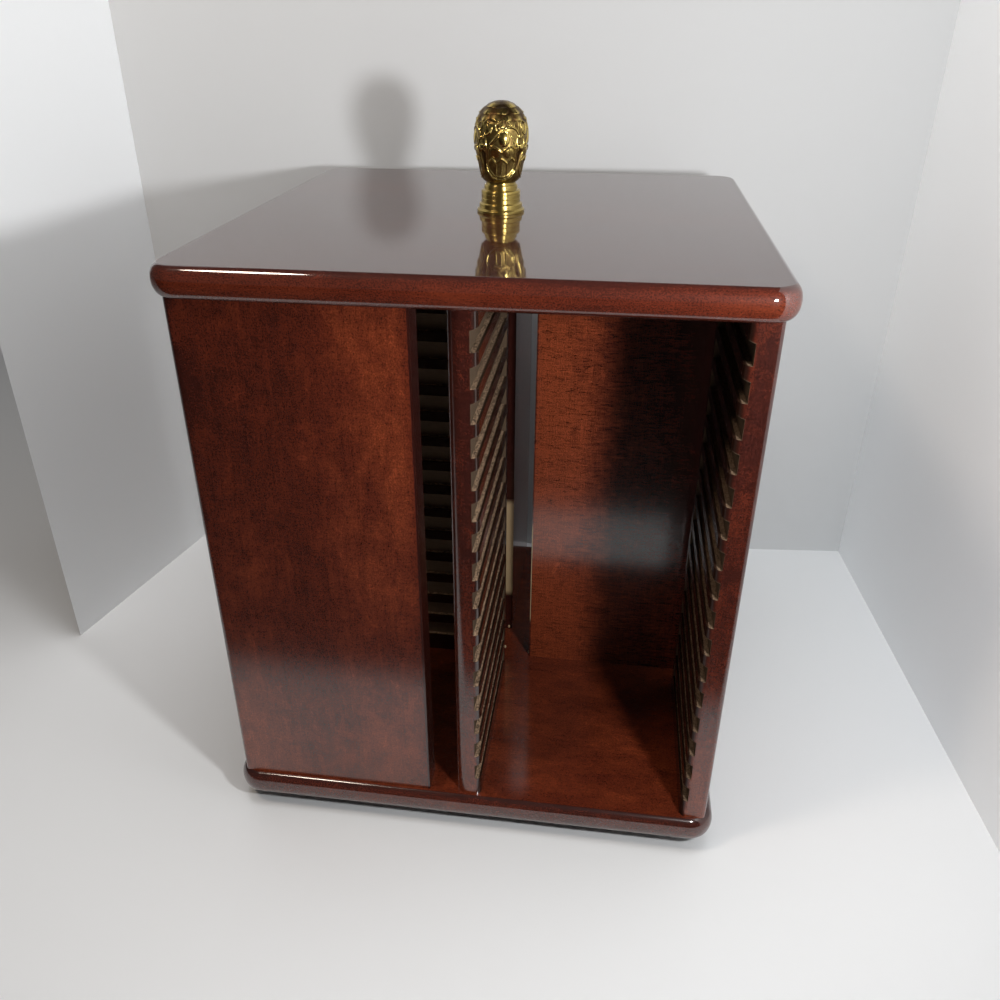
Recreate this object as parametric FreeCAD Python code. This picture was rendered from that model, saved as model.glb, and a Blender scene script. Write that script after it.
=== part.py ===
import FreeCAD, Part
import math
import os

from FreeCAD import Vector

# Revolving rack for disc cases, on a ball-bearing swivel, with a cast finial on top.
#
# Four bays stand round the spin axis like the vanes of a pinwheel. Each bay holds a stack of cases
# lying flat, their long sides in two facing walls: a divider near the axis, and a panel at a corner
# of the body. The plain side of each wall is the back or the outside of the bay beside it.
#
# Frame: millimetres, +Z up, origin on the spin axis at the level the rack stands on. The front is -Y.

# The disc case that every pair of slots takes, lying flat.
CASE_WIDTH = 142.0
CASE_DEPTH = 125.0
CASE_SIDE_GAP = 1.0
CASE_SETBACK = 2.5

# Slots, one pair for each case. Their floors are level and their ceilings rise towards the bay.
SLOT_COUNT = 16
SLOT_PITCH = 20.5
SLOT_DEPTH = 4.25
SLOT_HEIGHT = 11.8
SLOT_RISE = 1.3
FIRST_FLOOR = 14.4
LAST_FLOOR_ROOM = 23.1

# The eight upright walls.
PANEL_THICKNESS = 17.5
DIVIDER_THICKNESS = 17.5
STOP_WIDTH = 7.5
FINGER_GAP = 18.5
SLOTTED_ARRIS = 4.5
PANEL_ARRIS = 3.5
DIVIDER_ARRIS = 8.5

# Top and bottom boards, their corners rounded in plan and their edges eased above and below.
BOARD_THICKNESS = 18.0
BOARD_CORNER = 17.0
BOARD_ARRIS = 5.0
TOP_OVERHANG = 7.0
BOTTOM_OVERHANG = 6.0

# Loose tenons, one across each end of every wall, half in the wall and half in the board.
TENON_WIDTH = 60.0
TENON_THICKNESS = 6.0
TENON_LENGTH = 20.0
TENON_FIT = 0.05
BLIND_END_GAP = 0.5

# Swivel: pads, base plate, lower plate, balls in their cage, upper plate, and a rivet through both plates.
PAD_SIDE = 28.0
PAD_HEIGHT = 1.5
PAD_OFFSET = 98.0
BASE_SIDE = 250.0
BASE_THICKNESS = 3.0
BASE_CLIP = 18.0
ACCESS_RADIUS = 7.0
PLATE_SIDE = 150.0
PLATE_THICKNESS = 1.3
PLATE_CLIP = 5.0
PLATE_FIXING = 64.0
BALL_RADIUS = 2.38
BALL_COUNT = 12
BALL_RING_RADIUS = 50.0
BALL_PLAY = 0.07
CAGE_WIDTH = 9.0
CAGE_THICKNESS = 1.2
POCKET_PLAY = 0.3
RIVET_RADIUS = 5.0
RIVET_FIT = 0.08
RIVET_HEAD_RADIUS = 9.0
RIVET_HEAD_THICKNESS = 1.2
RIVET_HEAD_PLAY = 0.3

# Screws up through the upper plate, and the stud that holds the finial.
SCREW_RADIUS = 2.0
SCREW_FIT = 0.1
SCREW_HEAD_RADIUS = 4.0
SCREW_HEAD_HEIGHT = 2.0
SCREW_BITE = 12.0
STUD_RADIUS = 3.0
STUD_IN_BOARD = 15.0
STUD_IN_FINIAL = 14.0

# Finial. Its collar steps in towards the neck, and its bud has eight petals: radius and height of each
# step of the collar, and radius and height above the neck of each ring of the bud.
COLLAR_STEPS = ((15.5, 2.4), (14.1, 3.4), (12.7, 7.9), (10.8, 3.6), (9.6, 1.2))
BUD_RINGS = (
    (9.6, 0.0),
    (12.1, 2.2),
    (13.6, 5.2),
    (16.5, 16.9),
    (18.3, 23.9),
    (17.0, 34.2),
    (14.8, 41.6),
    (9.6, 46.9),
    (2.0, 49.9),
)
BUD_VALLEY = 0.05

# Small round pieces are many-sided, and so is the arris that the slots cut through, which keeps them light.
ARRIS_FLATS = 8
FINIAL_SIDES = 24
RIVET_SIDES = 16
SCREW_SIDES = 8
BALL_SIDES = 6
BALL_BANDS = 3

# Plan of a bay. The front bay opens towards -Y, with its divider on the left and its panel on the right.
BAY_WIDTH = CASE_WIDTH + 2 * CASE_SIDE_GAP - 2 * SLOT_DEPTH
SLOT_LENGTH = CASE_SETBACK + CASE_DEPTH
WALL_WIDTH = SLOT_LENGTH + STOP_WIDTH
# The divider's face stands off the axis by what leaves the finger gap behind the inner end of every wall.
DIVIDER_FACE = (WALL_WIDTH + FINGER_GAP + DIVIDER_THICKNESS - BAY_WIDTH - PANEL_THICKNESS) / 2
PANEL_FACE = DIVIDER_FACE + BAY_WIDTH
BODY_HALF = PANEL_FACE + PANEL_THICKNESS
MOUTH = -BODY_HALF
INNER_END = MOUTH + WALL_WIDTH

# Levels.
BEARING_HEIGHT = 2 * (PLATE_THICKNESS + BALL_PLAY + BALL_RADIUS)
BASE_TOP = PAD_HEIGHT + BASE_THICKNESS
BALL_LEVEL = BASE_TOP + BEARING_HEIGHT / 2
BOTTOM_UNDERSIDE = BASE_TOP + BEARING_HEIGHT
WALL_FOOT = BOTTOM_UNDERSIDE + BOARD_THICKNESS
INNER_HEIGHT = FIRST_FLOOR + (SLOT_COUNT - 1) * SLOT_PITCH + LAST_FLOOR_ROOM
WALL_HEAD = WALL_FOOT + INNER_HEIGHT
TOP_SURFACE = WALL_HEAD + BOARD_THICKNESS
NECK_TOP = TOP_SURFACE + sum(height for _, height in COLLAR_STEPS)

SIDES = ("front", "right", "back", "left")
OVERRUN = 1.0
UP = Vector(0, 0, 1)


def box(low, high):
    """Block between two opposite corners."""
    size = [b - a for a, b in zip(low, high)]
    return Part.makeBox(*size, Vector(*low))


def flat(points):
    """Flat face with straight sides."""
    return Part.Face(Part.makePolygon(points + points[:1]))


def ring(sides, radius, level, valley=0.0):
    """Corners of a level many-sided ring round the spin axis, a side of it square to X.

    A valley draws in every third corner by that share of the radius, and leaves flat-fronted petals between.
    """
    points = []
    for index in range(sides):
        angle = 2 * math.pi * (index + 0.5) / sides
        reach = radius * (1 - valley * (index % 3 == 1))
        points.append(Vector(reach * math.cos(angle), reach * math.sin(angle), level))
    return points


def bar(sides, radius, low, high):
    """Upright many-sided bar on the spin axis, between two levels."""
    return flat(ring(sides, radius, low)).extrude(Vector(0, 0, high - low))


def hole(sides, radius, low, high):
    """Cutter for an upright many-sided hole on the spin axis, the middles of its sides at a radius."""
    return bar(sides, radius / math.cos(math.pi / sides), low, high)


def faceted(rings):
    """Solid with a flat facet between each pair of like sides of neighbouring rings."""
    faces = [flat(rings[0]), flat(rings[-1])]
    for below, above in zip(rings, rings[1:]):
        for index in range(len(below)):
            faces.append(flat([below[index - 1], below[index], above[index], above[index - 1]]))
    shell = Part.makeShell(faces)
    shell.sewShape()
    return Part.makeSolid(shell)


def standing_edges(solid):
    """The upright edges of a block."""
    return [e for e in solid.Edges if e.BoundBox.XLength < 1e-6 and e.BoundBox.YLength < 1e-6]


def round_standing_edge(solid, x, y, radius):
    """Rounds the upright edge that stands at x, y."""
    near = [e for e in standing_edges(solid) if math.hypot(e.BoundBox.XMin - x, e.BoundBox.YMin - y) < 1e-4]
    return solid.makeFillet(radius, near)


def turned(shape, angle):
    """Copy of a shape, turned round the spin axis."""
    copy = shape.copy()
    copy.rotate(Vector(), UP, angle)
    return copy


def moved(shape, x, y):
    """Copy of a shape, moved sideways."""
    copy = shape.copy()
    copy.translate(Vector(x, y, 0))
    return copy


def all_round(shape, count):
    """Equally spaced copies of a shape round the spin axis."""
    return [turned(shape, 360 * index / count) for index in range(count)]


def at_corners(shape, offset):
    """Four copies of a shape made on the spin axis, at the corners of a square."""
    return all_round(moved(shape, offset, offset), 4)


# Walls, modelled in the front bay and turned into place for the other bays.


def slot_cutters(face, inward):
    """Cutters for one wall's slots. Inward is the X direction from the slotted face into the wood."""
    mouth_height = SLOT_HEIGHT + SLOT_RISE * (1 + OVERRUN / SLOT_DEPTH)
    section = ((-OVERRUN, 0), (SLOT_DEPTH, 0), (SLOT_DEPTH, SLOT_HEIGHT), (-OVERRUN, mouth_height))
    start = MOUTH - OVERRUN
    cutters = []
    for index in range(SLOT_COUNT):
        floor = WALL_FOOT + FIRST_FLOOR + index * SLOT_PITCH
        points = [Vector(face + inward * depth, start, floor + rise) for depth, rise in section]
        cutters.append(flat(points).extrude(Vector(0, OVERRUN + SLOT_LENGTH, 0)))
    return cutters


def tenon(middle, level, side_gap=0.0, end_gap=0.0):
    """Loose tenon across the end of a front wall whose middle is at X = middle. Gaps make it a cutter."""
    half_thickness = TENON_THICKNESS / 2 + side_gap
    half_width = TENON_WIDTH / 2 + side_gap
    half_length = TENON_LENGTH / 2 + end_gap
    along = (MOUTH + INNER_END) / 2
    low = (middle - half_thickness, along - half_width, level - half_length)
    high = (middle + half_thickness, along + half_width, level + half_length)
    return box(low, high)


def mortise(middle, level):
    return tenon(middle, level, TENON_FIT, BLIND_END_GAP)


def wall_middles():
    """X of the middle of the front bay's divider and of its panel."""
    return DIVIDER_FACE - DIVIDER_THICKNESS / 2, PANEL_FACE + PANEL_THICKNESS / 2


def across_all_walls(make, level):
    """What stands across the ends of all eight walls at a level, such as their tenons."""
    return [copy for middle in wall_middles() for copy in all_round(make(middle, level), 4)]


def wall(face, inward, thickness, plain_arris):
    """One slotted wall of the front bay, with a mortise in each end."""
    back = face + inward * thickness
    plan = [Vector(x, y, WALL_FOOT) for x, y in ((back, MOUTH), (back, INNER_END), (face, INNER_END))]
    for index in range(ARRIS_FLATS + 1):
        angle = math.pi / 2 * index / ARRIS_FLATS
        depth = SLOTTED_ARRIS * (1 - math.cos(angle))
        setback = SLOTTED_ARRIS * (1 - math.sin(angle))
        plan.append(Vector(face + inward * depth, MOUTH + setback, WALL_FOOT))
    blank = flat(plan).extrude(Vector(0, 0, INNER_HEIGHT))
    blank = round_standing_edge(blank, back, MOUTH, plain_arris)
    mortises = [mortise((face + back) / 2, level) for level in (WALL_FOOT, WALL_HEAD)]
    return blank.cut(slot_cutters(face, inward) + mortises)


def walls():
    """The four dividers and four panels, by name. A panel is also a side of the body, and named for it."""
    divider = wall(DIVIDER_FACE, -1, DIVIDER_THICKNESS, DIVIDER_ARRIS)
    panel = wall(PANEL_FACE, 1, PANEL_THICKNESS, PANEL_ARRIS)
    named = {}
    for index, side in enumerate(SIDES):
        named[side + "_divider"] = [turned(divider, 90 * index)]
        named[SIDES[(index + 1) % 4] + "_panel"] = [turned(panel, 90 * index)]
    return named


# Boards.


def eased_board(overhang, underside):
    """Square board over or under the walls, with rounded corners and eased edges."""
    half = BODY_HALF + overhang
    blank = box((-half, -half, underside), (half, half, underside + BOARD_THICKNESS))
    blank = blank.makeFillet(BOARD_CORNER, standing_edges(blank))
    return blank.makeFillet(BOARD_ARRIS, [e for e in blank.Edges if e.BoundBox.ZLength < 1e-6])


def top_board():
    stud_hole = stud(SCREW_FIT, BLIND_END_GAP)
    return eased_board(TOP_OVERHANG, WALL_HEAD).cut(across_all_walls(mortise, WALL_HEAD) + [stud_hole])


def bottom_board():
    """Board with mortises in its top, and below them screw holes and a pocket for the rivet's upper head."""
    screw_top = BOTTOM_UNDERSIDE + SCREW_BITE + BLIND_END_GAP
    screw_hole = bar(SCREW_SIDES, SCREW_RADIUS + SCREW_FIT, BOTTOM_UNDERSIDE - OVERRUN, screw_top)
    pocket_top = BOTTOM_UNDERSIDE + RIVET_HEAD_THICKNESS + 2 * RIVET_HEAD_PLAY
    pocket = hole(RIVET_SIDES, RIVET_HEAD_RADIUS + RIVET_HEAD_PLAY, BOTTOM_UNDERSIDE - OVERRUN, pocket_top)
    cutters = across_all_walls(mortise, WALL_FOOT) + at_corners(screw_hole, PLATE_FIXING) + [pocket]
    return eased_board(BOTTOM_OVERHANG, BOTTOM_UNDERSIDE).cut(cutters)


# Swivel.


def clipped_plate(side, clip, low, high):
    """Square plate with clipped corners, centred on the spin axis."""
    blank = box((-side / 2, -side / 2, low), (side / 2, side / 2, high))
    return blank.makeChamfer(clip, standing_edges(blank))


def base_pad():
    half = PAD_SIDE / 2
    return box((-half, -half, 0), (half, half, PAD_HEIGHT))


def base_plate():
    """Plate with a clear hole for the rivet's lower head, and one to reach the upper screws through."""
    plate = clipped_plate(BASE_SIDE, BASE_CLIP, PAD_HEIGHT, BASE_TOP)
    clear = hole(RIVET_SIDES, RIVET_HEAD_RADIUS + RIVET_HEAD_PLAY, PAD_HEIGHT - OVERRUN, BASE_TOP + OVERRUN)
    return plate.cut([clear, access_cutter()])


def access_cutter():
    """Cutter for the hole in base plate and lower plate that comes under each upper screw in turn."""
    upright = bar(SCREW_SIDES, ACCESS_RADIUS, PAD_HEIGHT - OVERRUN, BALL_LEVEL)
    return moved(upright, PLATE_FIXING, -PLATE_FIXING)


def bearing_plate(low):
    """One of the bearing's two square plates, with the rivet's hole in its middle."""
    high = low + PLATE_THICKNESS
    plate = clipped_plate(PLATE_SIDE, PLATE_CLIP, low, high)
    return plate.cut(hole(RIVET_SIDES, RIVET_RADIUS + RIVET_FIT, low - OVERRUN, high + OVERRUN))


def lower_plate():
    return bearing_plate(BASE_TOP).cut(access_cutter())


def upper_plate():
    low = BOTTOM_UNDERSIDE - PLATE_THICKNESS
    screw_hole = bar(SCREW_SIDES, SCREW_RADIUS + SCREW_FIT, low - OVERRUN, BOTTOM_UNDERSIDE + OVERRUN)
    return bearing_plate(low).cut(at_corners(screw_hole, PLATE_FIXING))


def rivet():
    """Flat-headed rivet on the spin axis. It is fast in the lower plate and the upper plate turns on it."""
    upper_head = BOTTOM_UNDERSIDE + RIVET_HEAD_PLAY
    shank = bar(RIVET_SIDES, RIVET_RADIUS, BASE_TOP, upper_head)
    foot = bar(RIVET_SIDES, RIVET_HEAD_RADIUS, BASE_TOP - RIVET_HEAD_THICKNESS, BASE_TOP)
    head = bar(RIVET_SIDES, RIVET_HEAD_RADIUS, upper_head, upper_head + RIVET_HEAD_THICKNESS)
    return shank.fuse([foot, head])


def ball():
    """Ball of the bearing, in level bands of facets whose corners lie on its surface."""
    rings = []
    for index in range(BALL_BANDS + 1):
        latitude = math.pi * (index + 0.5) / (BALL_BANDS + 1) - math.pi / 2
        level = BALL_LEVEL + BALL_RADIUS * math.sin(latitude)
        rings.append(ring(BALL_SIDES, BALL_RADIUS * math.cos(latitude), level))
    return moved(faceted(rings), BALL_RING_RADIUS, 0)


def ball_cage():
    """Flat ring with a pocket for each ball, and a straight side at each pocket."""
    low = BALL_LEVEL - CAGE_THICKNESS / 2
    high = BALL_LEVEL + CAGE_THICKNESS / 2
    corner_reach = 1 / math.cos(math.pi / BALL_COUNT)
    rim = bar(BALL_COUNT, (BALL_RING_RADIUS + CAGE_WIDTH / 2) * corner_reach, low, high)
    bore = bar(BALL_COUNT, (BALL_RING_RADIUS - CAGE_WIDTH / 2) * corner_reach, low - OVERRUN, high + OVERRUN)
    half = BALL_RADIUS + POCKET_PLAY
    pocket = box((-half, -half, low - OVERRUN), (half, half, high + OVERRUN))
    return rim.cut([bore] + all_round(moved(pocket, BALL_RING_RADIUS, 0), BALL_COUNT))


def bearing_screw():
    """Flat-headed screw up through a corner of the upper plate into the bottom board."""
    seat = BOTTOM_UNDERSIDE - PLATE_THICKNESS
    head = bar(SCREW_SIDES, SCREW_HEAD_RADIUS, seat - SCREW_HEAD_HEIGHT, seat)
    return head.fuse(bar(SCREW_SIDES, SCREW_RADIUS, seat, BOTTOM_UNDERSIDE + SCREW_BITE))


# Finial.


def stud(side_gap=0.0, end_gap=0.0):
    """Stud that joins the finial to the top board. Gaps make it the cutter for its own hole."""
    low = TOP_SURFACE - STUD_IN_BOARD - end_gap
    high = TOP_SURFACE + STUD_IN_FINIAL + end_gap
    return bar(SCREW_SIDES, STUD_RADIUS + side_gap, low, high)


def finial():
    """Casting with a stepped collar and a bud of eight petals, bored for its stud."""
    level = TOP_SURFACE
    pieces = []
    for radius, height in COLLAR_STEPS:
        pieces.append(bar(FINIAL_SIDES, radius, level, level + height))
        level += height
    rings = [ring(FINIAL_SIDES, radius, NECK_TOP + rise, BUD_VALLEY) for radius, rise in BUD_RINGS]
    return faceted(rings).fuse(pieces).cut(stud(SCREW_FIT, BLIND_END_GAP))


def build():
    """Every node of the rack: its name and its solids."""
    nodes = {
        "base_pads": at_corners(base_pad(), PAD_OFFSET),
        "base_plate": [base_plate()],
        "bearing_lower_plate": [lower_plate()],
        "bearing_rivet": [rivet()],
        "bearing_balls": all_round(ball(), BALL_COUNT),
        "ball_cage": [ball_cage()],
        "bearing_upper_plate": [upper_plate()],
        "bearing_screws": at_corners(bearing_screw(), PLATE_FIXING),
        "bottom_board": [bottom_board()],
        "bottom_tenons": across_all_walls(tenon, WALL_FOOT),
        "top_tenons": across_all_walls(tenon, WALL_HEAD),
        "top_board": [top_board()],
        "finial_stud": [stud()],
        "finial": [finial()],
    }
    nodes.update(walls())
    return nodes


def main():
    os.makedirs("parts", exist_ok=True)
    for name, solids in build().items():
        Part.makeCompound(solids).exportStep(os.path.join("parts", name + ".step"))


main()
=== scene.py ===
import functools
import math

import bpy
from bpy.props import FloatProperty, FloatVectorProperty, IntProperty, PointerProperty
from mathutils import Matrix, Vector


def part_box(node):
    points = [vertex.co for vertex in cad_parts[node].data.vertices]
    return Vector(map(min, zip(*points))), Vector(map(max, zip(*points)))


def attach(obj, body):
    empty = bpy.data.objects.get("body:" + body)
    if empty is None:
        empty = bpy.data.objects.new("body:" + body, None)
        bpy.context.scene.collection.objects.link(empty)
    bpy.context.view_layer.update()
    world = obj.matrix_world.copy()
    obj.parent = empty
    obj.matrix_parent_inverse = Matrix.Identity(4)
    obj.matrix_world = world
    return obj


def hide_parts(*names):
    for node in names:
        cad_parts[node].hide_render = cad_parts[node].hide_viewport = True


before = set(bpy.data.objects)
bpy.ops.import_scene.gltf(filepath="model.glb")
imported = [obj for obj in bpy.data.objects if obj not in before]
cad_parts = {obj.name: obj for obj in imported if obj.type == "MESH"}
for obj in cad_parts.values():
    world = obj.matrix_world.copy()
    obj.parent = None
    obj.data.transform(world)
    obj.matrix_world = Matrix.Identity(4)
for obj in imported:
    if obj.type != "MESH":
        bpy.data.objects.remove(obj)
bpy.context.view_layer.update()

bl_info = {
    "name": "Revolving Disc Rack",
    "version": (1, 0, 0),
    "blender": (4, 5, 0),
    "location": "3D View > Sidebar > Disc Rack",
    "description": "Models and finishes a revolving rack of slotted mahogany walls with a brass finial",
    "category": "Add Mesh",
}

# The rack stands on the spin axis, with +Z up and its front bay open towards -Y.
# Walls are made in the front bay and turned into the other three.

MM = 0.001
SIDES = ("front", "right", "back", "left")
QUARTER = 360 / len(SIDES)
# Lengths in metres that differ by less than this are the same.
NEAR = 1e-6


def low_of(node):
    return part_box(node)[0]


def high_of(node):
    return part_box(node)[1]


def length(name, description, millimetres):
    """Size that a user may change, in Blender's own length unit."""
    kind = {"unit": "LENGTH", "subtype": "DISTANCE"}
    return FloatProperty(name=name, description=description, default=millimetres * MM, **kind)


def colour(name, description, *rgb):
    """Colour that a user may change."""
    kind = {"size": 3, "min": 0, "max": 1, "subtype": "COLOR"}
    return FloatVectorProperty(name=name, description=description, default=rgb, **kind)


class RackSizes(bpy.types.PropertyGroup):
    """Sizes of the rack's own pieces that aren't taken from its solids."""

    corner_radius: length("Board corner", "Radius of each board's corners in plan", 17.0)
    nose_depth: length("Nose depth", "How far the curve over each board's edges reaches in", 5.6)
    nose_trim: length("Nose trim", "What a board's flats cut off the top and bottom of that curve", 0.6)
    slot_pitch: length("Slot pitch", "Height from one slot's floor to the next", 20.5)
    slot_depth: length("Slot depth", "Depth of a slot into its wall", 4.25)
    slot_height: length("Slot height", "Height of a slot at its root", 11.8)
    slot_rise: length("Slot rise", "How far a slot's ceiling rises towards the bay", 1.3)
    slot_stop: length("Slot stop", "Wood left between a slot's inner end and the wall's", 7.5)
    first_floor: length("First floor", "Height of the lowest slot's floor above the wall's foot", 14.4)
    slotted_arris: length("Slotted arris", "Radius of a wall's front edge beside its slots", 4.5)
    panel_arris: length("Panel arris", "Radius of a panel's outer front edge", 3.5)
    divider_arris: length("Divider arris", "Radius of a divider's plain front edge", 8.5)
    lip: length("Slot lip", "Lacquered strip along the edge of each slot's floor", 1.6)
    slot_count: IntProperty(name="Slots", description="Slots in each wall", default=16, min=1)
    ball_radius: length("Ball", "Radius of each ball of the swivel", 2.38)
    ball_ring: length("Ball ring", "Radius of the ring that the balls' centres lie on", 50.0)
    ball_count: IntProperty(name="Balls", description="Balls in the swivel", default=12, min=3)


class RackColours(bpy.types.PropertyGroup):
    """Colours of the rack's finishes."""

    mahogany_dark: colour("Mahogany, dark", "Stain at the edges of a wall", 0.030, 0.0065, 0.0045)
    mahogany_red: colour("Mahogany, red", "Body colour of the stained wood", 0.074, 0.0125, 0.0054)
    mahogany_glow: colour("Mahogany, glow", "Thin stain that the wood shows through", 0.188, 0.0365, 0.012)
    raw_wood: colour("Raw slot", "Unfinished wood in the slots", 0.42, 0.285, 0.185)
    slot_shade: colour("Slot shade", "Stain that ran into the slots", 0.022, 0.010, 0.006)
    brass: colour("Brass", "Polished brass", 0.56, 0.42, 0.13)
    patina: colour("Patina", "Darkened brass in the hollows", 0.085, 0.048, 0.018)
    glue: colour("Glue", "Dried bead of glue", 0.42, 0.30, 0.17)
    tenon: colour("Tenon", "Beech of the loose tenons", 0.55, 0.36, 0.19)
    zinc: colour("Zinc", "Plated steel of the swivel", 0.56, 0.56, 0.55)
    steel: colour("Ball steel", "Polished steel of the swivel's balls", 0.70, 0.70, 0.71)
    black: colour("Base black", "Paint of the base plate", 0.022, 0.022, 0.023)
    rubber: colour("Rubber", "Pads under the base plate", 0.035, 0.035, 0.036)
    nylon: colour("Nylon", "Cage of the swivel's balls", 0.70, 0.66, 0.56)
    paper: colour("Paper", "Floor and cards round the rack", 0.72, 0.735, 0.745)


def scaled(values, share):
    """Colour or size with each of its parts multiplied."""
    return [value * share for value in values]


def unit(value):
    """A number kept between 0 and 1."""
    return min(1.0, max(0.0, value))


# Materials. A Term is a socket that takes part in sums, and a Finish is one material being made.


def sum_of(operation, reflected=False):
    """Operator of a Term, which adds the Math node that works it out."""

    def apply(self, other=0.0):
        first, second = (other, self) if reflected else (self, other)
        return self.finish.node("ShaderNodeMath", {"operation": operation}, {0: first, 1: second})

    return apply


class Term:
    """Socket of a material that stands for a number in an expression."""

    def __init__(self, finish, socket):
        self.finish = finish
        self.socket = socket

    __add__ = __radd__ = sum_of("ADD")
    __sub__ = sum_of("SUBTRACT")
    __rsub__ = sum_of("SUBTRACT", True)
    __mul__ = __rmul__ = sum_of("MULTIPLY")
    __truediv__ = sum_of("DIVIDE")
    __mod__ = sum_of("FLOORED_MODULO")
    __lt__ = sum_of("LESS_THAN")
    __gt__ = sum_of("GREATER_THAN")
    __abs__ = sum_of("ABSOLUTE")


class Nodes:
    """The node tree of a material or of the world, being made."""

    def __init__(self, owner):
        owner.use_nodes = True
        self.owner = owner
        self.tree = owner.node_tree
        self.tree.nodes.clear()

    def node(self, kind, settings=None, inputs=None, output=0):
        """Adds a node. Its settings come first, then the values or links of its sockets."""
        made = self.tree.nodes.new(kind)
        for name, value in (settings or {}).items():
            setattr(made, name, value)
        for key, value in (inputs or {}).items():
            if isinstance(value, Term):
                self.tree.links.new(value.socket, made.inputs[key])
            else:
                made.inputs[key].default_value = value
        return Term(self, made.outputs[output]) if len(made.outputs) else made

    def split(self, vector):
        made = self.node("ShaderNodeSeparateXYZ", None, {0: vector})
        return [Term(self, socket) for socket in made.socket.node.outputs]

    def step(self, value, low, high):
        """Rises smoothly from 0 to 1 as a value goes from low to high."""
        inputs = {"Value": value, "From Min": low, "From Max": high}
        return self.node("ShaderNodeMapRange", {"interpolation_type": "SMOOTHSTEP"}, inputs)

    def between(self, value, low, high, soft):
        """1 between two values, falling smoothly to 0 outside them."""
        return self.step(value, low - soft, low) * (1 - self.step(value, high, high + soft))

    def light_path(self, kind):
        return self.node("ShaderNodeLightPath", output=kind)

    def blend(self, share, first, second):
        """Shader between two others."""
        return self.node("ShaderNodeMixShader", None, {0: share, 1: first, 2: second})


# How far a seed moves a noise along X, Y and Z: a material's own seed, and that of one of its noises.
MATERIAL_SHIFT = (7.3, 3.1, 5.7)
NOISE_SHIFT = (1, -1, 2)


class Finish(Nodes):
    """A procedural material on Object coordinates, turned so that each wall reads as in the front bay."""

    def __init__(self, name, turn=0.0, seed=0.0):
        super().__init__(bpy.data.materials.new(name))
        self.seed = seed
        self.place = self.turned("Object", "POINT", turn)
        self.x, self.y, self.z = self.split(self.place)
        self.nx, _, self.nz = self.split(self.turned("Normal", "NORMAL", turn))

    def turned(self, coordinates, kind, turn):
        """Coordinates turned back about the spin axis by an angle in degrees."""
        vector = self.node("ShaderNodeTexCoord", output=coordinates)
        inputs = {"Vector": vector, "Rotation": (0, 0, math.radians(-turn))}
        return self.node("ShaderNodeMapping", {"vector_type": kind}, inputs)

    def noise(self, size, detail=2.0, roughness=0.5, distortion=0.0, seed=0.0):
        """Cloudy noise from 0 to 1, whose marks have about this size along X, Y and Z."""
        scale = [1 / side for side in size]
        finer = self.node("ShaderNodeVectorMath", {"operation": "MULTIPLY"}, {0: self.place, 1: scale})
        offset = [self.seed * own + seed * part for own, part in zip(MATERIAL_SHIFT, NOISE_SHIFT)]
        moved = self.node("ShaderNodeVectorMath", {"operation": "ADD"}, {0: finer, 1: offset})
        inputs = {"Vector": moved, "Scale": 1.0, "Detail": detail, "Roughness": roughness}
        inputs["Distortion"] = distortion
        return self.node("ShaderNodeTexNoise", {"noise_dimensions": "3D"}, inputs)

    def mix(self, share, first, second, blend="MIX"):
        """Colour between two others."""
        inputs = {0: share, 6: self.rgba(first), 7: self.rgba(second)}
        return self.node("ShaderNodeMix", {"data_type": "RGBA", "blend_type": blend}, inputs, output=2)

    def rgba(self, shade):
        return shade if isinstance(shade, Term) else (*shade, 1.0)

    def grey(self, value):
        """Colour of equal parts from a value, to multiply another colour by."""
        return self.node("ShaderNodeCombineXYZ", None, {0: value, 1: value, 2: value})

    def bump(self, height, distance):
        return self.node("ShaderNodeBump", None, {"Height": height, "Distance": distance, "Strength": 1.0})

    def matt(self, shade):
        """Matt shader of one colour."""
        return self.node("ShaderNodeBsdfDiffuse", None, {"Color": self.rgba(shade)})

    def surface(self, shader):
        """Ends the material with its shader, and returns the material."""
        self.node("ShaderNodeOutputMaterial", None, {"Surface": shader})
        return self.owner

    def done(self, inputs, fixed):
        """Ends the material, with what varies over the surface in inputs and what doesn't in fixed."""
        return self.surface(self.node("ShaderNodeBsdfPrincipled", None, {**fixed, **inputs}))


LACQUER = {"Coat Roughness": 0.15, "Coat IOR": 1.72, "Specular IOR Level": 0.05}
# How thin the stain is on a wall; how much lighter it is painted towards the wall's inner end and darker
# towards its front, as painted light and shade; how strongly the curl shows; and how pale the roots of its
# slots are. Walls not named here are alike.
PLAIN_WALL = (0.47, 0.0, 0.25, 0.55)
WALL_CHARACTER = {
    # The right divider's lean: painted shadow of the right panel at its front, painted light at its inner
    # end.
    "right_divider": (0.50, 1.4, 0.9, 0.55),
    "front_divider": (0.42, 0.0, 0.35, 0.25),
    # The right panel's dim slot roots are painted shade.
    "right_panel": (0.47, 0.0, 0.25, 0.25),
}
# How thin the stain is on a board's upper face and on the rest of it, how much it thickens towards that
# face's rim, how mottled it is, and how rough the lacquer is.
BOARD_CHARACTER = {
    "top_board": (0.05, 0.46, 0.0, 0.35, 0.05),
    "bottom_board": (0.70, 0.42, 0.12, 0.7, 0.13),
}
# Shares of a wall's length and height, from -0.5 at its front or foot to 0.5 at its inner end or top: where
# the face of its inner end begins, painted dark there as painted shade, and how far across and up a
# divider's pale run in the glue's colour begins and ends.
PAINTED_SHADE_INNER_END = (0.488, 0.496)
PALE_RUN_ACROSS = (0.4945, 0.4955)
PALE_RUN_UP = (-0.38, -0.14)
# Distances in metres: from a wall's front to where its front edge ends, and the play of a slot's finish.
FRONT_EDGE = (0.004, 0.006)
HAIR = 0.0001


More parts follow.
